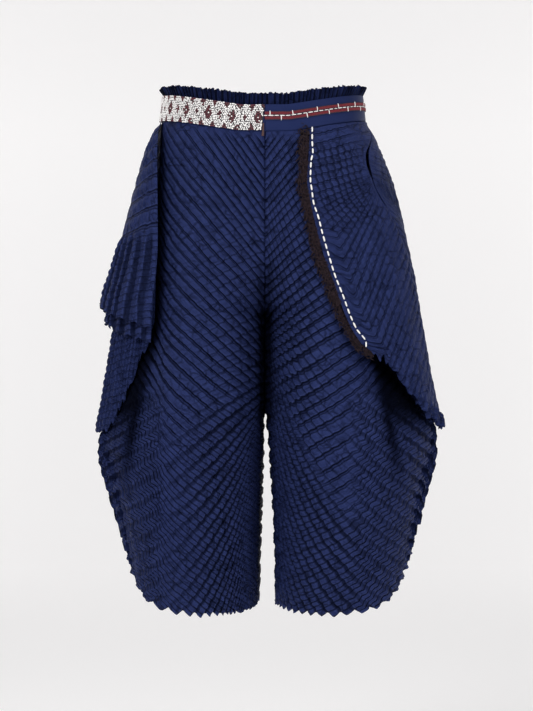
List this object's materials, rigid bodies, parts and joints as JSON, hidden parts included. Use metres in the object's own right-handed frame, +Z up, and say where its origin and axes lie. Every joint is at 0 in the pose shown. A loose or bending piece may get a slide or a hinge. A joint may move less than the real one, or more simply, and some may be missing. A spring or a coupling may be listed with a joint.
{
  "type": "pleated cropped trousers",
  "caption": "Wide cropped trousers in cross-pleated cloth, with petal hems, a tiered pleated drape on one hip, a fringed overlay on the other, and a gathered heading above the waistband",
  "frame": {"origin": "middle of the waistband, where the wearer's waist holds the garment", "axes": "+Z up, the front faces -Y, the wearer's left is +X"},
  "size_m": [0.4874, 0.2902, 0.7341],
  "materials": {
    "navy_pleats": "satin",
    "navy_band": "satin",
    "white_beads": "gloss",
    "red_braid": "matte",
    "brown_fringe": "matte",
    "brown_tab": "satin"
  },
  "bodies": {
    "root": {"waist_heading": "navy_pleats", "waistband_front_right": "navy_band", "waistband_front_left": "navy_band", "waistband_back": "navy_band", "bead_panel": "white_beads", "stripe_braid": "red_braid", "closure_tab": "brown_tab", "front_right": "navy_pleats", "front_left": "navy_pleats", "back_right": "navy_pleats", "back_left": "navy_pleats", "right_drape_upper": "navy_pleats", "right_drape_middle": "navy_pleats", "right_drape_lower": "navy_pleats", "left_overlay_front": "navy_pleats", "left_overlay_back": "navy_pleats", "fringe_trim": "brown_fringe"}
  },
  "joints": []
}
